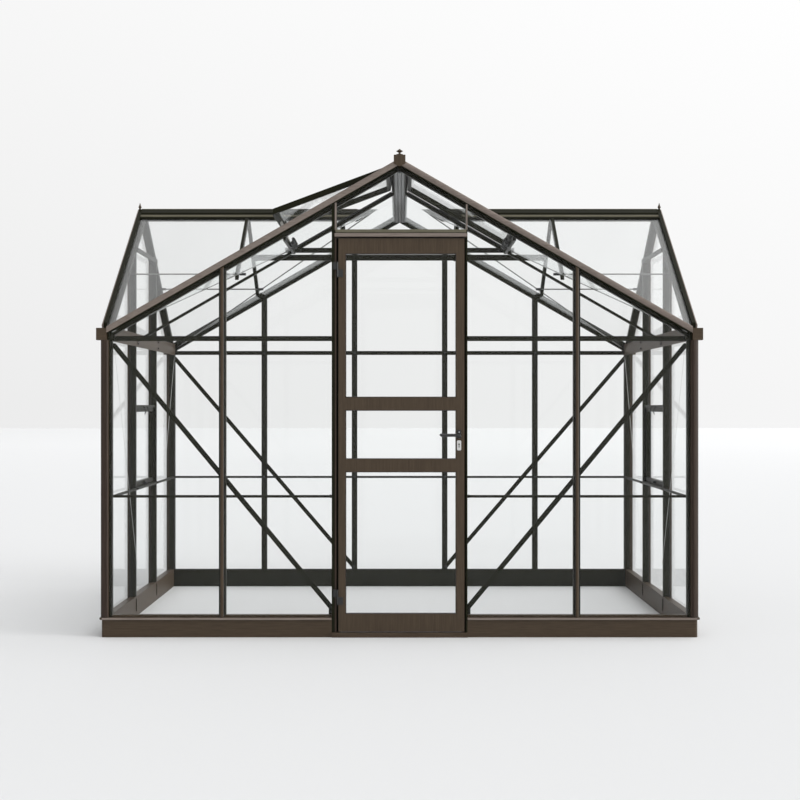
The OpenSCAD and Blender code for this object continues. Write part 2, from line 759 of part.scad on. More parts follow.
module cross_roof_glass() {
    v0 = cross_ridge_half + 3;
    v1 = half_d - frame_d - 1;
    x_end = half_w - web_d - glass_gap;
    a0 = inner_bar_x - web_side;
    a1 = inner_bar_x + web_side;
    b0 = outer_bar_x - web_side;
    b1 = outer_bar_x + web_side;
    color(glass_tint)
        for (side = [-1, 1], half = [-1, 1]) {
            cross_pane(side, half, [
                [valley_x(v0) + valley_gap, v0], [a0, v0], [a0, valley_y(a0 - valley_gap)]
            ]);
            cross_pane(side, half, [
                [a1, v0], [b0, v0], [b0, valley_y(b0 - valley_gap)], [a1, valley_y(a1 - valley_gap)]
            ]);
            cross_pane(side, half, [
                [b1, v0], [x_end, v0], [x_end, v1], [valley_x(v1) + valley_gap, v1],
                [b1, valley_y(b1 - valley_gap)]
            ]);
        }
}

// ---- Roof vents ----
// Turns a vent about its hinge line beside the ridge.
module about_vent_hinge(side, angle) {
    z = main_z(vent_hinge_x, vent_off);
    translate([side * vent_hinge_x, 0, z]) rotate([0, -side * angle, 0])
        translate([-side * vent_hinge_x, 0, -z]) children();
}
module vent_frame(side) {
    lo = vent_off;
    hi = vent_off + vent_h;
    for (v = [-vent_near, -vent_far - vent_bar])
        along_y(v, v + vent_bar) main_strip(side, vent_hinge_x, vent_x, lo, hi);
    along_y(-vent_near + vent_bar - 0.5, -vent_far - vent_bar + 0.5) {
        main_strip(side, vent_hinge_x, vent_hinge_x + vent_bar, lo, hi);
        main_strip(side, vent_x - vent_bar, vent_x, lo, hi);
    }
}
module left_roof_vent() {
    color(frame_brown) about_vent_hinge(-1, vent_open) vent_frame(-1);
}
module right_roof_vent() {
    color(frame_brown) about_vent_hinge(1, 0) vent_frame(1);
}
module roof_vent_glass() {
    lo = vent_off + 12;
    x0 = vent_hinge_x + vent_bar + 0.5;
    x1 = vent_x - vent_bar - 0.5;
    color(glass_tint)
        for (side = [-1, 1])
            about_vent_hinge(side, side < 0 ? vent_open : 0)
                along_y(-vent_near + vent_bar + 0.5, -vent_far - vent_bar - 0.5)
                    main_strip(side, x0, x1, lo, lo + glass_v);
}
module vent_openers() {
    plate_t = 6;
    plate_half = 25;
    tube_r = 12;
    tube_len = 120;
    y0 = -(vent_near + vent_far) / 2;
    z1 = main_z(sill_x + sill_w, main_glass_off + sill_top_off);
    color(black)
        for (side = [-1, 1]) {
            x0 = side * sill_x;
            box(side < 0 ? x0 : x0 - plate_t, side < 0 ? x0 + plate_t : x0,
                y0 - plate_half, y0 + plate_half, z1 - sill_h, z1);
            translate([x0 - side * (plate_t + tube_r - 0.1), y_mid + y0 + tube_len / 2,
                z1 - sill_h / 2]) rotate([90, 0, 0]) cylinder(h = tube_len, r = tube_r);
        }
}

// ---- Side windows ----
module side_windows() {
    v = side_bar_y - roof_bar_side - 3;
    z0 = window_z;
    z1 = window_z + window_h;
    color(frame_brown)
        for (side = [-1, 1])
            difference() {
                side_box(side, -v, v, 2, 30, z0, z1);
                side_box(side, -v + window_bar, v - window_bar, 1, 31,
                    z0 + window_bar, z1 - window_bar);
            }
}
module side_window_glass() {
    v = side_bar_y - roof_bar_side - 3 - window_bar - 0.5;
    color(glass_tint)
        for (side = [-1, 1])
            side_box(side, -v, v, cap_d, glass_d, window_z + window_bar + 0.5,
                window_z + window_h - window_bar - 0.5);
}

// ---- Finials ----
module finials() {
    block_top = ridge_z + finial_rise;
    color(frame_brown) {
        for (wall = [-1, 1]) {
            finial_block(wall);
            translate([0, y_mid + wall * (half_d - 10), block_top])
                rotate_extrude()
                    polygon([
                        [0, 0], [18, 0], [18, 4], [8, 7], [5, 10], [5, 13], [12, 17], [18, 21],
                        [12, 25], [5, 30], [0, 34]
                    ]);
        }
        for (side = [-1, 1])
            translate([side * (half_w - 6), y_mid, cross_ridge_z])
                rotate_extrude()
                    polygon([[0, 0], [6, 0], [6, 6], [10, 12], [6, 20], [0, 40]]);
    }
}

// ---- Door ----
module door_box(x0, x1, z0, z1) {
    wall_box(-1, x0, x1, -door_out, door_t - door_out, z0, z1);
}
module door_frame() {
    in0 = door_left + hinge_stile;
    in1 = door_right - latch_stile;
    color(frame_brown) {
        door_box(door_left, in0, door_z, door_top);
        door_box(in1, door_right, door_z, door_top);
        door_box(in0 - 0.5, in1 + 0.5, door_z, door_z + bottom_rail);
        door_box(in0 - 0.5, in1 + 0.5, door_top - top_rail, door_top);
        door_box(in0 - 0.5, in1 + 0.5, upper_mid_z, upper_mid_z + mid_rail);
        door_box(in0 - 0.5, in1 + 0.5, lower_mid_z, lower_mid_z + mid_rail);
    }
}
module door_pane(z0, z1) {
    wall_box(-1, door_left + hinge_stile + 0.5, door_right - latch_stile - 0.5,
        door_pane_d - glass_t / 2, door_pane_d + glass_t / 2, z0 + 0.5, z1 - 0.5);
}
module door_glass() {
    color(glass_tint) {
        door_pane(door_z + bottom_rail, lower_mid_z);
        door_pane(lower_mid_z + mid_rail, upper_mid_z);
        door_pane(upper_mid_z + mid_rail, door_top - top_rail);
    }
}
// One lever on its rose, on the outer or inner face of the door.
module lever(face) {
    d_face = face < 0 ? -door_out : door_t - door_out;
    function d(out) = d_face + face * out;
    x = rose_x + rose_w / 2;
    wall_layer(-1, min(d(0), d(8)), max(d(0), d(8)))
        translate([rose_x, handle_z - 15]) square([rose_w, 43]);
    wall_layer(-1, min(d(8), d(lever_off)), max(d(8), d(lever_off)))
        translate([x, handle_z]) circle(lever_d / 2);
    translate([x, y_mid - half_d + d(lever_off), handle_z]) {
        sphere(lever_d / 2);
        rotate([0, -90, 0]) cylinder(h = lever_len, r = lever_d / 2);
        translate([-lever_len, 0, 0]) sphere(lever_d / 2);
    }
}
module door_handle() {
    color(black) {
        lever(-1);
        lever(1);
    }
}
module door_lock_plate() {
    plate_w = 22;
    z0 = handle_z - 78;
    color(steel)
        for (d0 = [-door_out - 5, door_t - door_out])
            wall_layer(-1, d0, d0 + 5) {
                translate([rose_x + rose_w / 2 - plate_w / 2, z0 + 6])
                    square([plate_w, plate_h - 12]);
                translate([rose_x + rose_w / 2 - plate_w / 2 + 6, z0]) square([plate_w - 12, plate_h]);
                for (dx = [6, plate_w - 6], dz = [6, plate_h - 6])
                    translate([rose_x + rose_w / 2 - plate_w / 2 + dx, z0 + dz]) circle(6);
            }
}
// The lower half of each hinge barrel, with its plate on the face of the door.
module door_hinges() {
    color(black)
        for (z = hinge_zs) {
            translate([hinge_x, hinge_y, z - hinge_h / 2]) cylinder(h = hinge_h / 2, r = hinge_r);
            wall_box(-1, hinge_x, door_left + 24, -door_out - hinge_t, -door_out,
                z - hinge_h / 2, z);
        }
}
// The upper half of each barrel, with its block on the face of the door post.
module post_hinges() {
    color(black)
        for (z = hinge_zs) {
            translate([hinge_x, hinge_y, z + hinge_play])
                cylinder(h = hinge_h / 2 - hinge_play, r = hinge_r);
            wall_box(-1, hinge_x - 22, hinge_x, -door_out - hinge_t, 0,
                z + hinge_play, z + hinge_h / 2);
        }
}

front_plinths();
left_plinth();
right_plinth();
rear_plinth();
door_threshold();
corner_posts();
corner_caps();
front_glazing_bars();
rear_glazing_bars();
left_glazing_bars();
right_glazing_bars();
door_posts();
door_header();
front_rails();
rear_rails();
left_rails();
right_rails();
left_eave_beam();
right_eave_beam();
front_rafters();
rear_rafters();
left_gable_rafters();
right_gable_rafters();
main_ridge();
cross_ridges();
roof_bars();
cross_roof_bars();
vent_sills();
roof_ties();
gable_transoms();
front_braces();
rear_braces();
front_glass();
rear_glass();
left_glass();
right_glass();
main_roof_glass();
cross_roof_glass();
left_roof_vent();
right_roof_vent();
roof_vent_glass();
vent_openers();
side_windows();
side_window_glass();
finials();
post_hinges();
door_frame();
door_glass();
door_handle();
door_lock_plate();
door_hinges();
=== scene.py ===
# A glass greenhouse on a low plinth: dressed metal frame, glazing, door, vents and their fittings.
# Everything is in metres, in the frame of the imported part: X across the front, -Y in front, Z up.
import math

import bmesh
import bpy
from mathutils import Matrix, Vector


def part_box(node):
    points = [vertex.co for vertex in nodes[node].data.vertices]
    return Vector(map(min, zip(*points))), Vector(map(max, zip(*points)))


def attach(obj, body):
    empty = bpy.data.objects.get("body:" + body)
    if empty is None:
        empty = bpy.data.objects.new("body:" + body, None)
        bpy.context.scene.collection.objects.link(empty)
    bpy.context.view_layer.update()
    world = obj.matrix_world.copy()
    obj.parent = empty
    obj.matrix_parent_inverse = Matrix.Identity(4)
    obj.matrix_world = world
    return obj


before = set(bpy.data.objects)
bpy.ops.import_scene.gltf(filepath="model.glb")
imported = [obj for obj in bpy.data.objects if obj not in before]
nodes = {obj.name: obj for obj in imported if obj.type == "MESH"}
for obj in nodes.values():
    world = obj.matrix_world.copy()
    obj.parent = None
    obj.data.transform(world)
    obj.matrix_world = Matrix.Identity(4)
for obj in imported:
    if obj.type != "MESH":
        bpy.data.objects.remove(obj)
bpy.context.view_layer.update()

# ---- Camera, floor and light ----
# The camera stands level in front of the door, a little above the lock, on a long lens.
front_low, front_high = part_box("front_rafters")
wall_y = front_low.y
camera_data = bpy.data.cameras.new("camera")
camera_data.lens = 56.2
camera_data.shift_x = 0.0005
camera_data.shift_y = 0.00725
camera = bpy.data.objects.new("camera", camera_data)
camera.location = (0, wall_y - 6.497, 1.2046)
camera.rotation_euler = (math.radians(90), 0, 0)
bpy.context.scene.collection.objects.link(camera)
bpy.context.scene.camera = camera
bpy.context.scene.view_settings.view_transform = "Standard"

# A pale seamless floor that the whole plinth stands on.
floor_mesh = bpy.data.meshes.new("floor")
bm = bmesh.new()
bmesh.ops.create_grid(bm, x_segments=1, y_segments=1, size=60)
bm.to_mesh(floor_mesh)
bm.free()
floor = bpy.data.objects.new("floor", floor_mesh)
bpy.context.scene.collection.objects.link(floor)
floor_paint = bpy.data.materials.new("floor_paint")
floor_paint.use_nodes = True
nt = floor_paint.node_tree
coords = nt.nodes.new("ShaderNodeTexCoord")
parts = nt.nodes.new("ShaderNodeSeparateXYZ")
nt.links.new(coords.outputs["Object"], parts.inputs[0])
# The floor is painted lighter towards the back and slightly towards the right: a painted light gradient that
# blends it into the brighter backdrop.
painted_distance_light = nt.nodes.new("ShaderNodeMapRange")
painted_distance_light.inputs["From Min"].default_value = -3.0
painted_distance_light.inputs["From Max"].default_value = 30.0
painted_distance_light.inputs["To Min"].default_value = 0.775
painted_distance_light.inputs["To Max"].default_value = 0.86
nt.links.new(parts.outputs["Y"], painted_distance_light.inputs["Value"])
painted_side_light = nt.nodes.new("ShaderNodeMath")
painted_side_light.operation = "MULTIPLY_ADD"
painted_side_light.inputs[1].default_value = 0.003
nt.links.new(parts.outputs["X"], painted_side_light.inputs[0])
nt.links.new(painted_distance_light.outputs["Result"], painted_side_light.inputs[2])
shader = nt.nodes["Principled BSDF"]
nt.links.new(painted_side_light.outputs[0], shader.inputs["Base Color"])
shader.inputs["Roughness"].default_value = 0.9
shader.inputs["Specular IOR Level"].default_value = 0.1
floor_mesh.materials.append(floor_paint)

# Soft room light, a wide lamp overhead, and a low one on the right that grazes the floor.
world = bpy.data.worlds.new("studio")
bpy.context.scene.world = world
world.use_nodes = True
nt = world.node_tree
nt.nodes.clear()
out = nt.nodes.new("ShaderNodeOutputWorld")
room = nt.nodes.new("ShaderNodeBackground")
room.inputs["Color"].default_value = (0.98, 0.99, 1.0, 1)
seen = nt.nodes.new("ShaderNodeBackground")
seen.inputs["Color"].default_value = (1, 1, 1, 1)
coords = nt.nodes.new("ShaderNodeTexCoord")
parts = nt.nodes.new("ShaderNodeSeparateXYZ")
nt.links.new(coords.outputs["Generated"], parts.inputs[0])
rise = nt.nodes.new("ShaderNodeMapRange")
rise.inputs["From Min"].default_value = 0.0
rise.inputs["From Max"].default_value = 0.3
rise.inputs["To Min"].default_value = 0.88
rise.inputs["To Max"].default_value = 0.965
nt.links.new(parts.outputs["Z"], rise.inputs["Value"])
across = nt.nodes.new("ShaderNodeMath")
across.operation = "MULTIPLY_ADD"
across.inputs[1].default_value = 0.12
nt.links.new(parts.outputs["X"], across.inputs[0])
nt.links.new(rise.outputs["Result"], across.inputs[2])
nt.links.new(across.outputs[0], seen.inputs["Strength"])
soft_box = nt.nodes.new("ShaderNodeMath")
soft_box.operation = "MULTIPLY_ADD"
soft_box.inputs[1].default_value = 0.3
soft_box.inputs[2].default_value = 0.80
nt.links.new(parts.outputs["X"], soft_box.inputs[0])
nt.links.new(soft_box.outputs[0], room.inputs["Strength"])
path = nt.nodes.new("ShaderNodeLightPath")
either = nt.nodes.new("ShaderNodeMath")
either.operation = "MAXIMUM"
nt.links.new(path.outputs["Is Camera Ray"], either.inputs[0])
nt.links.new(path.outputs["Is Glossy Ray"], either.inputs[1])
mix = nt.nodes.new("ShaderNodeMixShader")
nt.links.new(either.outputs[0], mix.inputs["Fac"])
nt.links.new(room.outputs[0], mix.inputs[1])
nt.links.new(seen.outputs[0], mix.inputs[2])
nt.links.new(mix.outputs[0], out.inputs["Surface"])

for name, energy, spread, direction in (("overhead", 0.9, 60, (0.5, -0.2, 0.84)),
                                        ("low_right", 2.4, 30, (0.97, -0.24, 0.09))):
    sun_data = bpy.data.lights.new(name, "SUN")
    sun_data.energy = energy
    sun_data.angle = math.radians(spread)
    sun = bpy.data.objects.new(name, sun_data)
    sun.rotation_euler = Vector(direction).to_track_quat("Z", "Y").to_euler()
    bpy.context.scene.collection.objects.link(sun)

# ---- Powder coat of the frame ----
# Aluminium bars with a satin powder coat that copies a fine wood grain along each bar. The coat is
# brown outside the glass and dark olive inside it, so its colour changes at the plane of the glass.
BROWN = (0.070, 0.049, 0.031)
BROWN_DARK = (0.045, 0.031, 0.019)
OLIVE = (0.0135, 0.0135, 0.0050)
OLIVE_DARK = (0.0060, 0.0060, 0.0024)
post_low, post_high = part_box("corner_posts")
glass_depth = 0.0155
mid_y = (post_low.y + post_high.y) / 2
inside_x = post_high.x - glass_depth
inside_y = (post_high.y - post_low.y) / 2 - glass_depth


def add_node(tree, kind, **values):
    node = tree.nodes.new(kind)
    for key, value in values.items():
        setattr(node, key, value)
    return node


def grain_values(tree, stretch, turn, size):
    """Noise on Object coordinates, drawn out along one direction."""
    place = add_node(tree, "ShaderNodeTexCoord")
    mapping = add_node(tree, "ShaderNodeMapping")
    mapping.inputs["Rotation"].default_value = turn
    mapping.inputs["Scale"].default_value = stretch
    tree.links.new(place.outputs["Object"], mapping.inputs["Vector"])
    noise = add_node(tree, "ShaderNodeTexNoise")
    noise.inputs["Scale"].default_value = size
    noise.inputs["Detail"].default_value = 5
    noise.inputs["Roughness"].default_value = 0.65
    tree.links.new(mapping.outputs["Vector"], noise.inputs["Vector"])
    return place, noise


def two_colours(tree, fac, first, second):
    mix = add_node(tree, "ShaderNodeMix", data_type="RGBA")
    mix.inputs["A"].default_value = (*first, 1)
    mix.inputs["B"].default_value = (*second, 1)
    tree.links.new(fac, mix.inputs["Factor"])
    return mix.outputs["Result"]


def inside_mask(tree, place):
    """1 behind the plane of the wall glass, 0 outside it."""
    parts = add_node(tree, "ShaderNodeSeparateXYZ")
    tree.links.new(place.outputs["Object"], parts.inputs[0])
    across = add_node(tree, "ShaderNodeMath", operation="ABSOLUTE")
    tree.links.new(parts.outputs["X"], across.inputs[0])
    in_x = add_node(tree, "ShaderNodeMath", operation="LESS_THAN")
    in_x.inputs[1].default_value = inside_x
    tree.links.new(across.outputs[0], in_x.inputs[0])
    in_y = add_node(tree, "ShaderNodeMath", operation="COMPARE")
    in_y.inputs[1].default_value = mid_y
    in_y.inputs[2].default_value = inside_y
    tree.links.new(parts.outputs["Y"], in_y.inputs[0])
    both = add_node(tree, "ShaderNodeMath", operation="MULTIPLY")
    tree.links.new(in_x.outputs[0], both.inputs[0])
    tree.links.new(in_y.outputs[0], both.inputs[1])
    return both.outputs[0]


COATS = {"brown": (BROWN_DARK, BROWN), "olive": (OLIVE_DARK, OLIVE),
         # A paler copy of the brown: painted highlight for faces that catch the light.
         "lit_brown": ((0.140, 0.113, 0.096), (0.225, 0.186, 0.162)),
         # A darker copy of the brown: painted shade.
         "shaded_brown": ((0.027, 0.017, 0.012), (0.048, 0.032, 0.023)),
         # A paler copy of the olive: painted highlight.
         "lit_olive": ((0.090, 0.082, 0.055), (0.140, 0.128, 0.090)),
         # A light grey: painted reflection of the bright room, used for the ridge lining.
         "lining": ((0.15, 0.155, 0.155), (0.20, 0.205, 0.205))}


def powder_coat(name, along, turn=(0, 0, 0), coat="both"):
    material = bpy.data.materials.new(name)
    material.use_nodes = True
    tree = material.node_tree
    shader = tree.nodes["Principled BSDF"]
    stretch = tuple(0.035 if axis == along else 1.0 for axis in "XYZ")
    place, noise = grain_values(tree, stretch, turn, 230)
    ramp = add_node(tree, "ShaderNodeMapRange")
    ramp.inputs["From Min"].default_value = 0.34
    ramp.inputs["From Max"].default_value = 0.66
    tree.links.new(noise.outputs["Fac"], ramp.inputs["Value"])
    first, second = COATS["brown" if coat == "both" else coat]
    colour = two_colours(tree, ramp.outputs["Result"], first, second)
    if coat == "both":
        pick = add_node(tree, "ShaderNodeMix", data_type="RGBA")
        tree.links.new(inside_mask(tree, place), pick.inputs["Factor"])
        tree.links.new(colour, pick.inputs["A"])
        tree.links.new(two_colours(tree, ramp.outputs["Result"], *COATS["olive"]), pick.inputs["B"])
        colour = pick.outputs["Result"]
    tree.links.new(colour, shader.inputs["Base Color"])
    rough = add_node(tree, "ShaderNodeMapRange")
    rough.inputs["To Min"].default_value = 0.36
    rough.inputs["To Max"].default_value = 0.5
    tree.links.new(noise.outputs["Fac"], rough.inputs["Value"])
    tree.links.new(rough.outputs["Result"], shader.inputs["Roughness"])
    bump = add_node(tree, "ShaderNodeBump")
    bump.inputs["Strength"].default_value = 0.25
    bump.inputs["Distance"].default_value = 0.0004
    tree.links.new(noise.outputs["Fac"], bump.inputs["Height"])
    tree.links.new(bump.outputs["Normal"], shader.inputs["Normal"])
    shader.inputs["Specular IOR Level"].default_value = 0.09 if coat == "olive" else 0.2
    return material


def dress(material, *names):
    for name in names:
        nodes[name].data.materials.clear()
        nodes[name].data.materials.append(material)


coat_x = powder_coat("coat_along_x", "X")
coat_z = powder_coat("coat_along_z", "Z")
brown_x = powder_coat("brown_along_x", "X", coat="brown")
brown_y = powder_coat("brown_along_y", "Y", coat="brown")
brown_z = powder_coat("brown_along_z", "Z", coat="brown")
olive_x = powder_coat("olive_along_x", "X", coat="olive")
olive_y = powder_coat("olive_along_y", "Y", coat="olive")

dress(brown_x, "front_plinths", "door_threshold", "door_header", "corner_caps", "finials")
dress(coat_x, "rear_plinth")
dress(brown_y, "left_plinth", "right_plinth", "left_eave_beam", "right_eave_beam")
dress(coat_z, "corner_posts", "front_glazing_bars", "rear_glazing_bars", "left_glazing_bars",
      "right_glazing_bars")
dress(powder_coat("olive_along_z", "Z", coat="olive"), "door_posts")
dress(olive_x, "front_rafters", "rear_rafters", "front_rails", "rear_rails", "roof_ties",
      "front_braces", "rear_braces", "roof_bars", "cross_ridges")
dress(olive_y, "left_gable_rafters", "right_gable_rafters", "left_rails", "right_rails",
      "main_ridge", "cross_roof_bars", "vent_sills", "gable_transoms", "left_roof_vent",
      "right_roof_vent", "side_windows")
dress(brown_z, "door_frame")

# ---- Glass ----
# Clear toughened panes, 4 mm thick, held by the caps. The wall, door and main roof panes show hardly
# any reflection; the cross roof panes are lightly diffusing and turn milky at a glancing view.


def pane_glass(name, tint, power, least, most, rough):
    material = bpy.data.materials.new(name)
    material.use_nodes = True
    tree = material.node_tree
    tree.nodes.clear()
    out = add_node(tree, "ShaderNodeOutputMaterial")
    clear = add_node(tree, "ShaderNodeBsdfTransparent")
    clear.inputs["Color"].default_value = (*tint, 1)
    mirror = add_node(tree, "ShaderNodeBsdfGlossy")
    mirror.inputs["Color"].default_value = (0.95, 0.96, 0.96, 1)
    mirror.inputs["Roughness"].default_value = rough
    facing = add_node(tree, "ShaderNodeLayerWeight")
    facing.inputs["Blend"].default_value = 0.5
    curve = add_node(tree, "ShaderNodeMath", operation="POWER")
    curve.inputs[1].default_value = power
    tree.links.new(facing.outputs["Facing"], curve.inputs[0])
    share = add_node(tree, "ShaderNodeMapRange")
    share.inputs["To Min"].default_value = least
    share.inputs["To Max"].default_value = most
    tree.links.new(curve.outputs[0], share.inputs["Value"])
    mix = add_node(tree, "ShaderNodeMixShader")
    tree.links.new(share.outputs["Result"], mix.inputs["Fac"])
    tree.links.new(clear.outputs[0], mix.inputs[1])
    tree.links.new(mirror.outputs[0], mix.inputs[2])
    tree.links.new(mix.outputs[0], out.inputs["Surface"])
    return material


wall_glass = pane_glass("wall_glass", (0.985, 0.988, 0.987), 3.0, 0.010, 0.3, 0.02)
cross_glass = pane_glass("roof_glass", (0.980, 0.983, 0.982), 2.2, 0.010, 0.6, 0.25)
dress(wall_glass, "front_glass", "rear_glass", "left_glass", "right_glass", "side_window_glass",
      "door_glass", "main_roof_glass", "roof_vent_glass")
dress(cross_glass, "cross_roof_glass")

# ---- Black fittings and the lock ----
# Die-cast levers and hinges with a black satin coat, and a stainless lock plate.


def satin(name, colour, metallic, rough, grain):
    material = bpy.data.materials.new(name)
    material.use_nodes = True
    tree = material.node_tree
    shader = tree.nodes["Principled BSDF"]
    place, noise = grain_values(tree, grain, (0, 0, 0), 400)
    tint = two_colours(tree, noise.outputs["Fac"], [0.75 * c for c in colour], colour)
    tree.links.new(tint, shader.inputs["Base Color"])
    spread = add_node(tree, "ShaderNodeMapRange")
    spread.inputs["To Min"].default_value = rough - 0.06
    spread.inputs["To Max"].default_value = rough + 0.08
    tree.links.new(noise.outputs["Fac"], spread.inputs["Value"])
    tree.links.new(spread.outputs["Result"], shader.inputs["Roughness"])
    shader.inputs["Metallic"].default_value = metallic
    return material


black_coat = satin("black_coat", (0.012, 0.012, 0.012), 0.0, 0.35, (1, 1, 1))
brushed_steel = satin("brushed_steel", (0.72, 0.72, 0.71), 1.0, 0.3, (1, 1, 0.05))
dress(black_coat, "door_handle", "door_hinges", "post_hinges", "vent_openers")
dress(brushed_steel, "door_lock_plate")

# ---- Rafter covers ----
# Rounded trim strips clipped over the faces of the front, rear and side gable rafters. Extruded
# aluminium, coloured as a paler copy of the brown coat, a painted highlight for the light they catch;
# they run from the ridge blocks to the corner caps.
half_w = post_high.x
wall_front = post_low.y
wall_rear = post_high.y
half_depth = (wall_rear - wall_front) / 2
frame_depth = 0.046
under_rafter = 0.0395
corner_z = 1.603
ridge_z = front_high.z
side_low, side_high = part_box("right_gable_rafters")
cross_z = side_high.z
main_slope = (ridge_z - corner_z) / half_w
cross_slope = (cross_z - corner_z) / half_depth


def bar(bm, outline, travel):
    """A closed bar: an outline extruded along a straight line."""
    face = bm.faces.new([bm.verts.new(p) for p in outline])
    moved = bmesh.ops.extrude_face_region(bm, geom=[face])["geom"]
    bmesh.ops.translate(bm, vec=travel, verts=[v for v in moved if isinstance(v, bmesh.types.BMVert)])


def piece(name, bm, material, body="greenhouse"):
    """Makes a mesh object of the bmesh and lets it ride on a body of the frame."""
    bmesh.ops.recalc_face_normals(bm, faces=bm.faces)
    mesh = bpy.data.meshes.new(name)
    bm.to_mesh(mesh)
    bm.free()
    mesh.shade_smooth()
    mesh.set_sharp_from_angle(angle=math.radians(32))
    mesh.materials.append(material)
    obj = bpy.data.objects.new(name, mesh)
    bpy.context.scene.collection.objects.link(obj)
    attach(obj, body)
    return obj


COVER = [(-0.0005, 0.0003), (0.0035, 0.0004), (0.0062, 0.003), (0.0076, 0.0075), (0.0079, 0.013),
         (0.0073, 0.0190), (0.0058, 0.0250), (0.0034, 0.030), (0.0008, 0.0335), (-0.0005, 0.0335)]
lit_brown_x = powder_coat("lit_brown_along_x", "X", coat="lit_brown")
lit_brown_y = powder_coat("lit_brown_along_y", "Y", coat="lit_brown")
for wall, face_y in ((-1, wall_front), (1, wall_rear)):
    bm = bmesh.new()
    for side in (-1, 1):
        x0, x1 = 0.0003, half_w - 0.0275
        start = [(side * x0, face_y + wall * d, ridge_z - main_slope * x0 - o) for d, o in COVER]
        bar(bm, start, (side * (x1 - x0), 0, -main_slope * (x1 - x0)))
    piece("front_rafter_cover" if wall < 0 else "rear_rafter_cover", bm, lit_brown_x)
bm = bmesh.new()
for wall, face_y in ((-1, wall_front), (1, wall_rear)):
    block = [(-0.0305, -0.030), (-0.0305, 0.0095), (-0.0265, 0.0158), (0.0265, 0.0158),
             (0.0305, 0.0095), (0.0305, -0.030), (0.0, -0.0455)]
    bar(bm, [(x, face_y + wall * 0.0045, ridge_z + h) for x, h in block], (0, wall * 0.0052, 0))
piece("ridge_block_plates", bm, powder_coat("block_coat", "Z", coat="brown"))
for side in (-1, 1):
    bm = bmesh.new()
    for half in (-1, 1):
        v1 = half * (half_depth - 0.041)
        start = [(side * (half_w + d), mid_y, cross_z - o) for d, o in COVER]
        bar(bm, start, (0, v1, -cross_slope * abs(v1)))
    piece(f"{'left' if side < 0 else 'right'}_gable_cover", bm, lit_brown_y)

# ---- Corner post covers ----
# Each corner post wears an angle of extruded aluminium with rounded shoulders and a groove near
# each edge, clipped on from the ledge of the plinth up to the corner cap.
POST = [(0.036, 0.0005), (0.036, -0.0005), (0.0290, -0.0052), (0.0281, -0.0050), (0.0270, -0.0024),
        (0.0260, -0.0024), (0.0248, -0.0074), (0.0190, -0.0069), (0.0120, -0.0051), (0.0060, -0.0029),
        (0.0016, -0.0010), (0.0000, 0.0000)]
cap_low, cap_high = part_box("corner_caps")
ledge_z = post_low.z
bm = bmesh.new()
for side in (-1, 1):
    for wall, face_y in ((-1, wall_front), (1, wall_rear)):
        corner = POST + [(b, a) for a, b in POST[-2::-1]] + [(0.0005, 0.0005)]
        bar(bm, [(side * (half_w - a), face_y - wall * b, ledge_z) for a, b in corner],
            (0, 0, cap_low.z - ledge_z))
# The post covers take the darker copy of the brown coat, painted shade.
piece("corner_post_covers", bm, powder_coat("post_cover_coat", "Z", coat="shaded_brown"))

# ---- Bar caps ----
# The glazing caps of the wall bars are rounded extrusions pressed over the bars,
# with a black rubber gasket on each side where they hold the panes.
bar_low, bar_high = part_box("front_glazing_bars")
rear_low, rear_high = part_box("rear_glazing_bars")
gable_low, gable_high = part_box("right_glazing_bars")
BEAD = [(-0.0078, -0.0005), (-0.0078, 0.0008), (-0.0058, 0.0026), (-0.003, 0.0036), (0, 0.0040),
        (0.003, 0.0036), (0.0058, 0.0026), (0.0078, 0.0008), (0.0078, -0.0005)]
front_bar_x = bar_high.x - 0.018
bay_x = 2 * (half_w - frame_depth) / 5
side_bar_y = (half_depth - frame_depth) / 3
caps = bmesh.new()
seals = bmesh.new()


def cap_and_seals(place, out, along, top):
    """A cap and its two gaskets: centre on the wall face, outward and sideways directions, top height."""
    foot = Vector((place[0], place[1], ledge_z + 0.0005))
    bar(caps, [foot + along * a + out * d for a, d in BEAD], (0, 0, top - foot.z))
    for turn in (-1, 1):
        edge = foot + along * turn * 0.0078 - out * 0.0117
        bar(seals, [edge + along * turn * a + out * d for a, d in
                    ((0, 0), (0.0034, 0), (0.0026, 0.0022), (0.0004, 0.0058), (0, 0.0058))],
            (0, 0, top - foot.z))


for side in (-1, 1):
    cap_and_seals((side * front_bar_x, wall_front), Vector((0, -1, 0)), Vector((1, 0, 0)),
                  ridge_z - main_slope * (front_bar_x + 0.008) - under_rafter)
    for step in (0.5, 1.5):
        cap_and_seals((side * step * bay_x, wall_rear), Vector((0, 1, 0)), Vector((1, 0, 0)),
                      ridge_z - main_slope * (step * bay_x + 0.008) - under_rafter)
    for half in (-1, 1):
        cap_and_seals((side * half_w, mid_y + half * side_bar_y), Vector((side, 0, 0)),
                      Vector((0, 1, 0)), cross_z - cross_slope * (side_bar_y + 0.008) - under_rafter)
piece("wall_bar_caps", caps, powder_coat("cap_coat", "Z", coat="brown"))

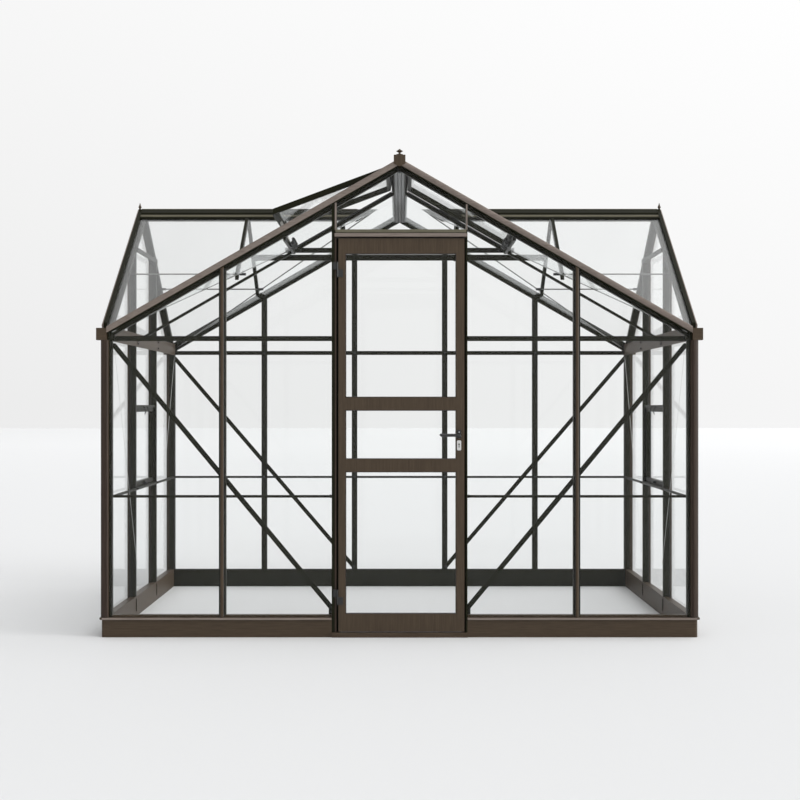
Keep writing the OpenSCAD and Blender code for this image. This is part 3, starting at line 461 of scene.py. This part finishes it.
# ---- Base mouldings ----
# A rounded nose on the front edge of the ledge all round the plinth, and hold-down straps that
# hang from the side bars over the inner faces of the side plinths.
nose = bmesh.new()
NOSE = [(-0.0006, 0.0004), (0.0022, 0.0004), (0.0030, 0.0022), (0.0027, 0.0045), (0.0012, 0.0085),
        (0.0, 0.0106), (-0.0006, 0.0106)]
door_low, door_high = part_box("door_posts")
ledge_y = (wall_front - 0.009, wall_rear + 0.009)
ledge_x = half_w + 0.009
jamb_x = door_high.x
for side in (-1, 1):
    x0 = side * (jamb_x + 0.001)
    x1 = side * (ledge_x - 0.014)
    bar(nose, [(x0, ledge_y[0] - d, ledge_z - 0.011 + h) for d, h in NOSE], (x1 - x0, 0, 0))
    bar(nose, [(side * (ledge_x + d), ledge_y[0] + 0.014, ledge_z - 0.011 + h) for d, h in NOSE],
        (0, ledge_y[1] - ledge_y[0] - 0.028, 0))
x1 = ledge_x - 0.014
bar(nose, [(-x1, ledge_y[1] + d, ledge_z - 0.011 + h) for d, h in NOSE], (2 * x1, 0, 0))
# The nose takes the paler copy of the brown, a painted highlight along the lit ledge.
piece("ledge_noses", nose, lit_brown_x)

straps = bmesh.new()
for side in (-1, 1):
    for half in (-1, 1):
        x = side * (half_w - frame_depth)
        y = mid_y + half * side_bar_y
        bar(straps, [(x, y - 0.004, 0.103), (x, y + 0.004, 0.103), (x - side * 0.004, y + 0.003, 0.103),
                     (x - side * 0.004, y - 0.003, 0.103)], (0, 0, -0.072))
piece("hold_down_straps", straps, olive_y)

# ---- Door surround ----
# Aluminium strips over the door: a rain drip and a small lip, sloped to shed water, with a black
# seal under the header. A cap clips on each post above it, and an edge strip on the hinge post below.
# The drip and the caps are coloured as a paler copy of the brown and the lip as a paler copy of the
# olive, painted highlight; the edge strip is a darker copy of the brown, painted shade.
header_low, header_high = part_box("door_header")
bm = bmesh.new()
x0, x1 = header_low.x, header_high.x
drip = ((0.0137, 0), (0.0180, 0.0008), (0.0186, 0.0028), (0.0178, 0.0065), (0.0158, 0.0140),
        (0.0142, 0.0188), (0.001, 0.0188), (0.001, 0))
bar(bm, [(x0 + 0.003, wall_front - d, header_low.z + 0.0002 + h) for d, h in drip],
    (x1 - x0 - 0.003, 0, 0))
piece("door_drip", bm, lit_brown_x)
bm = bmesh.new()
lip = ((0.001, 0), (0.0105, 0.0004), (0.0112, 0.003), (0.0100, 0.0105), (0.0083, 0.0172),
       (0.001, 0.0172))
bar(bm, [(x0 + 0.007, wall_front - d, header_high.z - 0.0168 + h) for d, h in lip],
    (x1 - x0 - 0.010, 0, 0))
piece("door_lip", bm, powder_coat("lip_coat", "X", coat="lit_olive"))
bm = bmesh.new()
seal = ((0.010, 0.0002), (0.015, 0.0002), (0.0135, -0.0045), (0.0115, -0.0045))
bar(bm, [(x0 + 0.012, wall_front + d, header_low.z + h) for d, h in seal], (x1 - x0 - 0.020, 0, 0))
piece("door_top_seal", bm, black_coat)
bm = bmesh.new()
for x_mid, half in ((-0.333, 0.0046), (0.3485, 0.0042)):
    top = ridge_z - main_slope * (abs(x_mid) + half) - 0.039
    cap = ((-half, 0.0005), (-half, -0.0012), (0, -0.0034), (half, -0.0012), (half, 0.0005))
    bar(bm, [(x_mid + a, wall_front + d, header_high.z) for a, d in cap],
        (0, 0, top - header_high.z))
piece("door_post_caps", bm, powder_coat("jamb_cap_coat", "Z", coat="lit_brown"))
bm = bmesh.new()
edge = ((-0.3372, 0.0005), (-0.3372, -0.0012), (-0.3328, -0.0022), (-0.3288, -0.0012),
        (-0.3288, 0.0005))
bar(bm, [(x, wall_front + d, 0.028) for x, d in edge], (0, 0, header_low.z - 0.0285))
piece("hinge_post_edge", bm, powder_coat("jamb_edge_coat", "Z", coat="shaded_brown"))

# ---- Door mouldings ----
# Sloped aluminium glazing beads round each pane of the door, pushed into the reveal over a black
# rubber gasket.
leaf_low, leaf_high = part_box("door_frame")
pane_low, pane_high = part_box("door_glass")
face_y = leaf_low.y
glass_front = pane_low.y
bottom_rail, mid_rail, top_rail = 0.091, 0.065, 0.078
lower_mid_z, upper_mid_z = 0.862, 1.183
panes = ((leaf_low.z + bottom_rail, lower_mid_z), (lower_mid_z + mid_rail, upper_mid_z),
         (upper_mid_z + mid_rail, leaf_high.z - top_rail))
open_x = (pane_low.x - 0.0005, pane_high.x + 0.0005)
beads = bmesh.new()
rubber = bmesh.new()
depth0, depth1, width = face_y + 0.0008, glass_front - 0.0022, 0.0028
for z0, z1 in panes:
    # Left and right beads run the full height, top and bottom beads between them.
    for turn, x in ((1, open_x[0]), (-1, open_x[1])):
        bar(beads, [(x, depth0, z0), (x + turn * 0.0016, depth0, z0),
                    (x + turn * width, depth1 - 0.001, z0), (x + turn * width, depth1, z0),
                    (x, depth1, z0)], (0, 0, z1 - z0))
        bar(rubber, [(x + turn * 0.0004, depth1, z0), (x + turn * (width + 0.0016), depth1, z0),
                     (x + turn * (width + 0.0010), depth1 + 0.0021, z0),
                     (x + turn * 0.0004, depth1 + 0.0021, z0)], (0, 0, z1 - z0))
    a, b = open_x[0] + width, open_x[1] - width
    for turn, z in ((1, z0), (-1, z1)):
        bar(beads, [(a, depth0, z), (a, depth0, z + turn * 0.0016),
                    (a, depth1 - 0.001, z + turn * width), (a, depth1, z + turn * width),
                    (a, depth1, z)], (b - a, 0, 0))
        bar(rubber, [(a, depth1, z + turn * 0.0004), (a, depth1, z + turn * (width + 0.0016)),
                     (a, depth1 + 0.0021, z + turn * (width + 0.0010)),
                     (a, depth1 + 0.0021, z + turn * 0.0004)], (b - a, 0, 0))
# The beads take the darker copy of the brown, painted shade in the reveal.
piece("door_beads", beads, powder_coat("door_bead_coat", "X", coat="shaded_brown"), "door")

# ---- Roof mouldings ----
# A stepped flashing over the cross ridge on each side, with a bead along its lower edge, coloured as a
# paler copy of the olive, a painted highlight; fluted lining under the main ridge, painted grey as a
# reflection of the bright room and darker towards the rear as painted shade; and thin grey seals down
# the four valleys.
FLASHING = [(0.0, 0.0010), (0.0310, -0.0244), (0.0316, -0.0330), (0.0440, -0.0440), (0.0590, -0.0570),
            (0.0612, -0.0640), (0.0310, -0.0446), (0.0306, -0.0250), (0.0, -0.0002)]
RIDGE_BEAD = [(0.0445, -0.0443), (0.0458, -0.0412), (0.0482, -0.0404), (0.0515, -0.0430),
              (0.0538, -0.0475), (0.0545, -0.0525)]
RIDGE_INNER_X = 0.253
flashing = bmesh.new()
beading = bmesh.new()
for side in (-1, 1):
    travel = (side * (half_w - 0.0165 - RIDGE_INNER_X), 0, 0)
    for half in (-1, 1):
        for bm, outline in ((flashing, FLASHING), (beading, RIDGE_BEAD)):
            bar(bm, [(side * RIDGE_INNER_X, mid_y + half * v, cross_z + h) for v, h in outline],
                travel)
    bar(beading, [(side * RIDGE_INNER_X, mid_y + 0.0045 * math.cos(a),
                   cross_z - 0.0006 + 0.0035 * math.sin(a))
                  for a in [math.pi * k / 8 for k in range(9)]], travel)
piece("cross_ridge_flashings", flashing, olive_x)
# The beads take the paler copy of the olive, a painted highlight.
piece("cross_ridge_beads", beading, powder_coat("bead_coat", "X", coat="lit_olive"))
under = ridge_z - 0.0635
lining = bmesh.new()
for middle in (-0.0205, 0, 0.0205):
    flute = [(middle + 0.0098 * math.cos(a), under - 0.0050 * math.sin(a))
             for a in [math.pi * k / 10 for k in range(11)]]
    flute = [(middle + 0.0098, under + 0.0006)] + flute + [(middle - 0.0098, under + 0.0006)]
    bar(lining, [(x, wall_front + frame_depth, z) for x, z in flute], (0, 2 * (half_depth - frame_depth), 0))
# The lining is painted light grey as a reflection of the bright room, and painted darker towards the rear, a
# painted shade that runs into the dark olive.
lining_reflection_coat = powder_coat("lining_reflection_coat", "Y", coat="lining")
tree = lining_reflection_coat.node_tree
shader = tree.nodes["Principled BSDF"]
base = shader.inputs["Base Color"].links[0].from_socket
parts = add_node(tree, "ShaderNodeSeparateXYZ")
tree.links.new(add_node(tree, "ShaderNodeTexCoord").outputs["Object"], parts.inputs[0])
rear_shade_ramp = add_node(tree, "ShaderNodeMapRange")
rear_shade_ramp.inputs["From Min"].default_value = mid_y - 0.25
rear_shade_ramp.inputs["From Max"].default_value = mid_y + 0.30
tree.links.new(parts.outputs["Y"], rear_shade_ramp.inputs["Value"])
painted_rear_shade = add_node(tree, "ShaderNodeMix", data_type="RGBA")
painted_rear_shade.inputs["B"].default_value = (*OLIVE_DARK, 1)
tree.links.new(rear_shade_ramp.outputs["Result"], painted_rear_shade.inputs["Factor"])
tree.links.new(base, painted_rear_shade.inputs["A"])
tree.links.new(painted_rear_shade.outputs["Result"], shader.inputs["Base Color"])
piece("ridge_lining", lining, lining_reflection_coat)
valley = bmesh.new()
valley_x0 = (ridge_z - 0.046 - cross_z + 0.020) / main_slope
for side in (-1, 1):
    for half in (-1, 1):
        start = Vector((side * (valley_x0 + 0.02), mid_y + half * 0.02 * main_slope / cross_slope,
                        ridge_z - 0.0455 - main_slope * (valley_x0 + 0.02)))
        run = half_w - 0.075 - valley_x0
        travel = Vector((side * run, half * run * main_slope / cross_slope, -main_slope * run))
        aside = travel.cross(Vector((0, 0, 1))).normalized()
        bar(valley, [start + aside * a + Vector((0, 0, h)) for a, h in
                     ((-0.0045, -0.002), (-0.0035, 0.0028), (0, 0.001), (0.0035, 0.0028),
                      (0.0045, -0.002))],
            travel)

# ---- Roof rods and side wall tie rods ----
# A slim rod across each half of the front and rear cross roof holds it from spreading, in black end
# sockets; thin stainless tie rods brace the end bays of the side walls.


def rod(bm, start, end, radius, sides=14, tip=None):
    """A round bar between two points, or a cone when the tip has its own radius."""
    start, end = Vector(start), Vector(end)
    run = end - start
    turn = run.to_track_quat("Z", "Y").to_matrix().to_4x4()
    place = Matrix.Translation((start + end) / 2) @ turn
    return bmesh.ops.create_cone(bm, cap_ends=True, segments=sides, radius1=radius,
                                 radius2=radius if tip is None else tip, depth=run.length,
                                 matrix=place)["verts"]


def bolt(bm, place, out, size):
    """A hexagon bolt head with a domed middle on a washer, facing along out."""
    place, out = Vector(place), Vector(out)
    rod(bm, place, place + out * size * 0.12, size * 0.75, 20)
    rod(bm, place + out * size * 0.08, place + out * size * 0.55, size * 0.5, 6)
    rod(bm, place + out * size * 0.55, place + out * size * 0.68, size * 0.42, 16, size * 0.25)


rods = bmesh.new()
sockets = bmesh.new()
rod_v = 0.45
rod_z = cross_z - 0.020 - cross_slope * rod_v - 0.045
rod_x = valley_x0 + rod_v * cross_slope / main_slope + 0.06
for side in (-1, 1):
    for half in (-1, 1):
        y = mid_y + half * rod_v
        rod(rods, (side * rod_x, y, rod_z), (side * (half_w - 0.047), y, rod_z), 0.004)
        for a, b in ((half_w - frame_depth, half_w - 0.076), (rod_x - 0.004, rod_x + 0.03)):
            rod(sockets, (side * a, y, rod_z), (side * b, y, rod_z), 0.0075, 18)
piece("roof_rods", rods, satin("rod_grey", (0.16, 0.165, 0.15), 0.3, 0.4, (0.05, 1, 1)))
piece("rod_sockets", sockets, black_coat)
tie_rods = bmesh.new()
for side in (-1, 1):
    x = side * (half_w - 0.052)
    for half in (-1, 1):
        rod(tie_rods, (x, mid_y + half * (half_depth - 0.06), 1.530),
            (x, mid_y + half * (side_bar_y + 0.006), 0.30), 0.0009, 8)
piece("side_wall_tie_rods", tie_rods, brushed_steel)

# ---- Bolts and brackets ----
# Black-coated steel bolts where the rails, ties and eave beams cross the bars, a folded bracket at
# the foot of each front brace, and a gusset plate screwed behind each corner of the gables.
bolts = bmesh.new()
rail_low, rail_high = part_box("front_rails")
rear_rail_low, rear_rail_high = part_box("rear_rails")
mid_rail_z = 0.730
for z in (1.557, mid_rail_z):
    for side in (-1, 1):
        for x in (front_bar_x, 0.362):
            bolt(bolts, (side * x, rail_high.y - 0.0004, z), (0, 1, 0), 0.012)
        for x in (0.5 * bay_x, 1.5 * bay_x):
            bolt(bolts, (side * x, rear_rail_low.y + 0.0004, z), (0, -1, 0), 0.012)
side_in = half_w - frame_depth
for side in (-1, 1):
    for half in (-1, 1):
        y = mid_y + half * side_bar_y
        bolt(bolts, (side * (side_in - 0.0076), y, mid_rail_z), (-side, 0, 0), 0.012)
        for z in (1.560, 1.598):
            bolt(bolts, (side * (side_in - 0.0096), y, z), (-side, 0, 0), 0.012)
tie_low, tie_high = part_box("roof_ties")
tie_x = (ridge_z - 0.0507 - 0.0127 - 2.095) / main_slope
for side in (-1, 1):
    for dx in (-0.012, 0.012):
        bolt(bolts, (side * (tie_x - 0.004) + dx, tie_low.y + 0.0004, 2.094), (0, -1, 0), 0.011)
    for x in (0.338, 0.5 * 0.9036, 0.884):
        bolt(bolts, (side * x, tie_high.y - 0.0004, 2.1023), (0, 1, 0), 0.011)
brackets = bmesh.new()
for side in (-1, 1):
    x = side * (jamb_x + 0.002)
    y = rail_high.y + 0.0045
    outline = [(0, 0.106), (0.014, 0.106), (0.017, 0.110), (0.017, 0.142), (0.010, 0.150), (0, 0.150)]
    bar(brackets, [(x + side * a, y, h) for a, h in outline], (0, 0.004, 0))
    bolt(bolts, (x + side * 0.004, y + 0.004, 0.134), (0, 1, 0), 0.012)
    foot = (side * (0.5 * bay_x + 0.006), rear_rail_low.y - 0.0036, 0.134)
    bolt(bolts, foot, (0, -1, 0), 0.013)
    for y, inward in ((rail_high.y + 0.0036, 1), (rear_rail_low.y - 0.0036, -1)):
        bolt(bolts, (side * (half_w - 0.055), y, 1.520), (0, inward, 0), 0.013)
gusset = ((1.488, 1.5475), (1.5245, 1.5475), (1.5245, 1.558), (1.488, 1.578))
for side in (-1, 1):
    for wall, face_y in ((-1, wall_front), (1, wall_rear)):
        bar(brackets, [(side * x, face_y - wall * 0.018, z) for x, z in gusset],
            (0, -wall * 0.025, 0))
piece("frame_bolts", bolts, black_coat)
piece("brace_brackets", brackets, olive_x)

# ---- Vent openers ----
# Each roof vent has a wax-cylinder opener: collars and a round adjusting knob on the black tube, a
# forked lever; the left vent also has a pale aluminium stay that lifts its lower bar off the sill.
opener_low, opener_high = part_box("vent_openers")
sill_low, sill_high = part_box("vent_sills")
tube_x = opener_high.x - 0.018
tube_y = (opener_low.y + opener_high.y) / 2
tube_z = (opener_low.z + opener_high.z) / 2
fork = bmesh.new()
for side in (-1, 1):
    x = side * tube_x
    for shift in (-0.058, -0.020, 0.018, 0.056):
        rod(fork, (x, tube_y + shift - 0.004, tube_z), (x, tube_y + shift + 0.004, tube_z), 0.0155, 24)
    rod(fork, (x, tube_y - 0.060, tube_z), (x, tube_y - 0.082, tube_z), 0.009, 20)
    rod(fork, (x, tube_y - 0.082, tube_z), (x, tube_y - 0.094, tube_z), 0.013, 20, 0.011)
    for shift in (-0.030, 0.030):
        ear = [(0.014, -0.014), (-0.002, -0.020), (-0.016, -0.010), (-0.018, 0.012), (-0.006, 0.034),
               (0.004, 0.040), (0.010, 0.030), (0.006, 0.012), (0.016, 0.004)]
        bar(fork, [(x + side * a, tube_y + shift - 0.002, tube_z + h) for a, h in ear], (0, 0.004, 0))
    rod(fork, (x - side * 0.004, tube_y - 0.036, tube_z + 0.030),
        (x - side * 0.004, tube_y + 0.036, tube_z + 0.030), 0.005, 16)
piece("opener_fittings", fork, black_coat)
vent_low, vent_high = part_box("left_roof_vent")
stay = bmesh.new()
foot = Vector((sill_low.x + 0.006, tube_y, sill_high.z + 0.002))
head = Vector((vent_low.x + 0.014, tube_y, vent_low.z + 0.016))
aside = (head - foot).cross(Vector((0, 1, 0))).normalized() * 0.007
for shift in (-0.017, 0.017):
    offset = Vector((0, shift - 0.0015, 0))
    bar(stay, [foot + offset - aside, foot + offset + aside, head + offset + aside,
               head + offset - aside], (0, 0.003, 0))
rod(stay, foot + Vector((0, -0.020, 0)), foot + Vector((0, 0.020, 0)), 0.004, 16)
rod(stay, head + Vector((0, -0.020, 0)), head + Vector((0, 0.020, 0)), 0.004, 16)
piece("vent_stay", stay, satin("pale_aluminium", (0.50, 0.49, 0.46), 0.3, 0.5, (1, 1, 0.1)))

# ---- Vent side seals ----
# A black rubber strip on the roof bar beside each vent keeps rain out along the vent's side bar.
bm = bmesh.new()
for side in (-1, 1):
    start_x, run = 0.047, 0.550
    top = ridge_z - under_rafter - main_slope * start_x
    strip = ((-0.3170, 0), (-0.3000, 0), (-0.3000, -0.0063), (-0.3170, -0.0063))
    bar(bm, [(side * start_x, mid_y + y, top + h) for y, h in strip],
        (side * run, 0, -main_slope * run))
piece("vent_side_seals", bm, satin("seal_rubber", (0.010, 0.010, 0.010), 0.0, 0.65, (1, 1, 1)))

# ---- Side window fittings ----
# Two black sliding hooks hang from the top rail of each side window, and a black turn knob on the
# lower bar holds it shut.
fittings = bmesh.new()
window_low, window_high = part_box("side_windows")
for side in (-1, 1):
    x = side * (half_w - 0.036)
    z = window_high.z + 0.006
    for y in (mid_y - 0.07, mid_y + 0.03):
        points = [Vector((x - side * dx, y + dy, z + dz)) for dx, dy, dz in
                  ((0, 0, 0.004), (0.010, 0.002, -0.004), (0.015, 0.006, -0.020),
                   (0.014, 0.014, -0.036), (0.008, 0.022, -0.046))]
        for a, b in zip(points, points[1:]):
            rod(fittings, a, b, 0.0028, 12)
        for p in points[1:-1]:
            bmesh.ops.create_uvsphere(fittings, u_segments=12, v_segments=8, radius=0.0029,
                                      matrix=Matrix.Translation(p))
    x = side * (half_w - 0.030)
    z = window_low.z + 0.0125
    rod(fittings, (x, mid_y, z), (x - side * 0.006, mid_y, z), 0.011, 24)
    rod(fittings, (x - side * 0.006, mid_y, z), (x - side * 0.016, mid_y, z), 0.008, 20, 0.0065)
piece("window_fittings", fittings, black_coat)

# ---- Door lever and lock ----
# The lever grows thicker towards a rounded end and sits in a two-lobed rose with a bright screw;
# below it the steel lock plate has a dark keyhole and two countersunk screws.
handle_low, handle_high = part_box("door_handle")
lock_low, lock_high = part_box("door_lock_plate")
lock_x = (lock_low.x + lock_high.x) / 2
grip_z = 1.051
trim = bmesh.new()
steel_bits = bmesh.new()
for face, out in ((leaf_low.y, -1), (leaf_high.y, 1)):
    for dz in (0.010, -0.004):
        rod(trim, (lock_x, face + out * 0.0004, grip_z + dz), (lock_x, face + out * 0.0110, grip_z + dz),
            0.0125, 28, 0.0112)
    rod(steel_bits, (lock_x, face + out * 0.0105, grip_z + 0.017),
        (lock_x, face + out * 0.0125, grip_z + 0.017), 0.0034, 16, 0.0028)
    hole = lock_low.y - 0.0004 if out < 0 else lock_high.y + 0.0004
    middle = (lock_low.z + lock_high.z) / 2
    rod(trim, (lock_x, hole - out * 0.0008, middle + 0.006),
        (lock_x, hole + out * 0.0002, middle + 0.006), 0.0042, 20)
    slit = ((-0.0016, 0.004), (0.0016, 0.004), (0.0022, -0.011), (-0.0022, -0.011))
    bar(trim, [(lock_x + a, hole - out * 0.0008, middle + h) for a, h in slit],
        (0, out * 0.001, 0))
    for dz in (-0.021, 0.021):
        rod(steel_bits, (lock_x, hole - out * 0.0008, middle + dz),
            (lock_x, hole + out * 0.0006, middle + dz), 0.0030, 16, 0.0024)
    lever_y = handle_low.y + 0.0065 if out < 0 else handle_high.y - 0.0065
    bmesh.ops.create_uvsphere(trim, u_segments=28, v_segments=16, radius=0.0078,
                              matrix=Matrix.Translation((lock_x - 0.087, lever_y, grip_z))
                              @ Matrix.Diagonal((1.5, 0.86, 1, 1)))
piece("lever_trim", trim, black_coat, "door")
piece("lock_screws", steel_bits, brushed_steel, "door")

# ---- Gaskets and valley seals ----
# Black rubber gaskets pressed in beside the wall bars and the door panes, and thin grey strips laid
# down the four valleys where the cross roofs meet the main roof.
gasket = satin("rubber", (0.010, 0.010, 0.010), 0.0, 0.65, (1, 1, 1))
piece("bar_gaskets", seals, gasket)
piece("door_gaskets", rubber, gasket, "door")
valley_grey = satin("valley_grey", (0.22, 0.22, 0.21), 0.0, 0.5, (1, 1, 1))
piece("valley_seals", valley, valley_grey)
